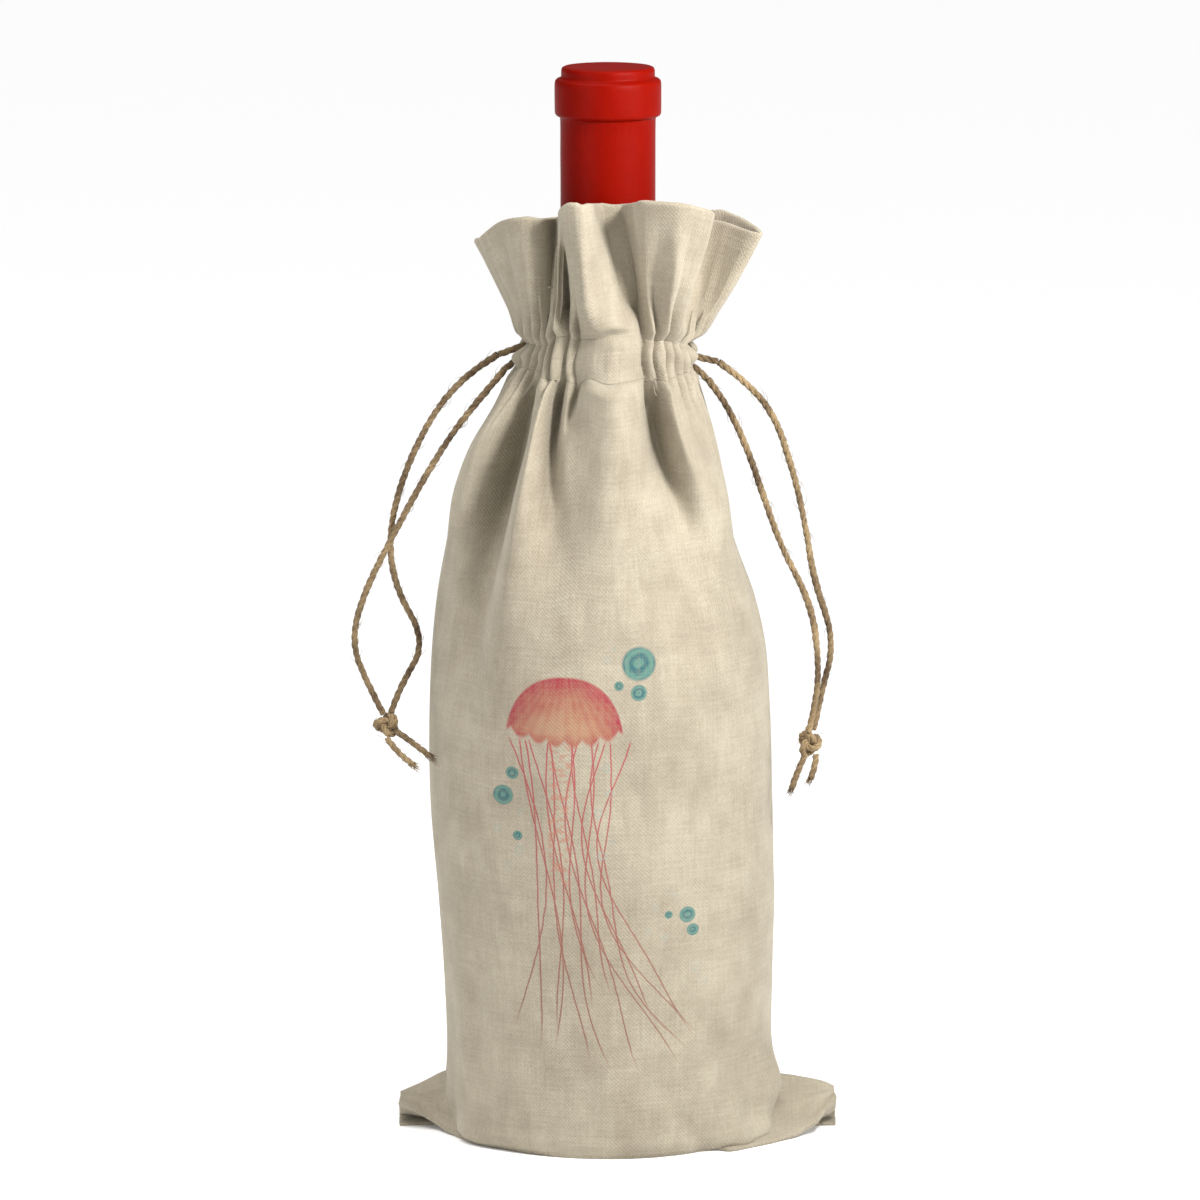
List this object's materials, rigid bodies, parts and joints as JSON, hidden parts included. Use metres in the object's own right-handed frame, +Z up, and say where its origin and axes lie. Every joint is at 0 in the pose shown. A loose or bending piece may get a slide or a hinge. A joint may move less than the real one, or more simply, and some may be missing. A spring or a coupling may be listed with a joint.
{
  "type": "drawstring wine bottle gift bag",
  "caption": "Linen drawstring gift bag gathered round the neck of a standing wine bottle, with a frilled mouth, twine ties and spread bottom corners.",
  "frame": {"origin": "on the floor under the bottle's axis, at the middle of the bag's foot", "axes": "+Z up along the bottle; -Y is the printed front of the bag; the side seams, bottom corners and the ends of the drawcords lie at -X (left) and +X (right)"},
  "size_m": [0.1353, 0.0876, 0.3005],
  "materials": {
    "linen": "natural undyed plain weave, slubby, matt",
    "sewing_thread": "matt spun thread",
    "jute_twine": "two-ply hairy natural fibre",
    "bottle_glass": "dark green, smooth",
    "wine": "dark red liquid",
    "cork": "fine-grained natural cork",
    "capsule_foil": "satin red lacquer on tin foil"
  },
  "bodies": {
    "bag": {"front_panel": "linen", "back_panel": "linen", "front_header": "linen", "back_header": "linen", "left_corner": "linen", "right_corner": "linen", "front_casing": "linen", "back_casing": "linen", "front_casing_lining": "linen", "back_casing_lining": "linen", "left_side_seam": "linen", "right_side_seam": "linen", "left_header_seam": "linen", "right_header_seam": "linen", "bottom_seam": "linen", "front_upper_stitching": "sewing_thread", "front_lower_stitching": "sewing_thread", "back_upper_stitching": "sewing_thread", "back_lower_stitching": "sewing_thread"},
    "left_cord": {"left_casing_cord": "jute_twine"},
    "right_cord": {"right_casing_cord": "jute_twine"},
    "left_tie": {"left_outer_strand": "jute_twine", "left_inner_strand": "jute_twine", "left_knot": "jute_twine", "left_long_tail": "jute_twine", "left_short_tail": "jute_twine"},
    "right_tie": {"right_outer_strand": "jute_twine", "right_inner_strand": "jute_twine", "right_knot": "jute_twine", "right_long_tail": "jute_twine", "right_short_tail": "jute_twine"},
    "bottle": {"bottle": "bottle_glass", "wine": "wine", "cork": "cork", "capsule_skirt": "capsule_foil", "capsule_disc": "capsule_foil"}
  },
  "joints": [
    {"name": "bottle_lift", "type": "slide", "parent": "bag", "child": "bottle", "axis": [0, 0, 1], "range_m": [0, 0.31], "deforming": ["front_panel", "back_panel", "left_side_seam", "right_side_seam", "front_header", "back_header", "left_header_seam", "right_header_seam", "front_casing", "back_casing", "front_casing_lining", "back_casing_lining", "front_upper_stitching", "front_lower_stitching", "back_upper_stitching", "back_lower_stitching", "left_casing_cord", "right_casing_cord", "left_outer_strand", "left_inner_strand", "right_outer_strand", "right_inner_strand"]},
    {"name": "left_draw", "type": "slide", "parent": "bag", "child": "left_cord", "axis": [-1, 0, 0], "range_m": [0, 0.012], "deforming": ["left_casing_cord"]},
    {"name": "right_draw", "type": "slide", "parent": "bag", "child": "right_cord", "axis": [1, 0, 0], "range_m": [0, 0.012], "deforming": ["right_casing_cord"]},
    {"name": "left_swing", "type": "hinge", "parent": "left_cord", "child": "left_tie", "pos_m": [-0.0295, 0, 0.218], "axis": [0, 1, 0], "range_deg": [0, 70]},
    {"name": "right_swing", "type": "hinge", "parent": "right_cord", "child": "right_tie", "pos_m": [0.0292, 0, 0.2155], "axis": [0, -1, 0], "range_deg": [0, 70]}
  ]
}
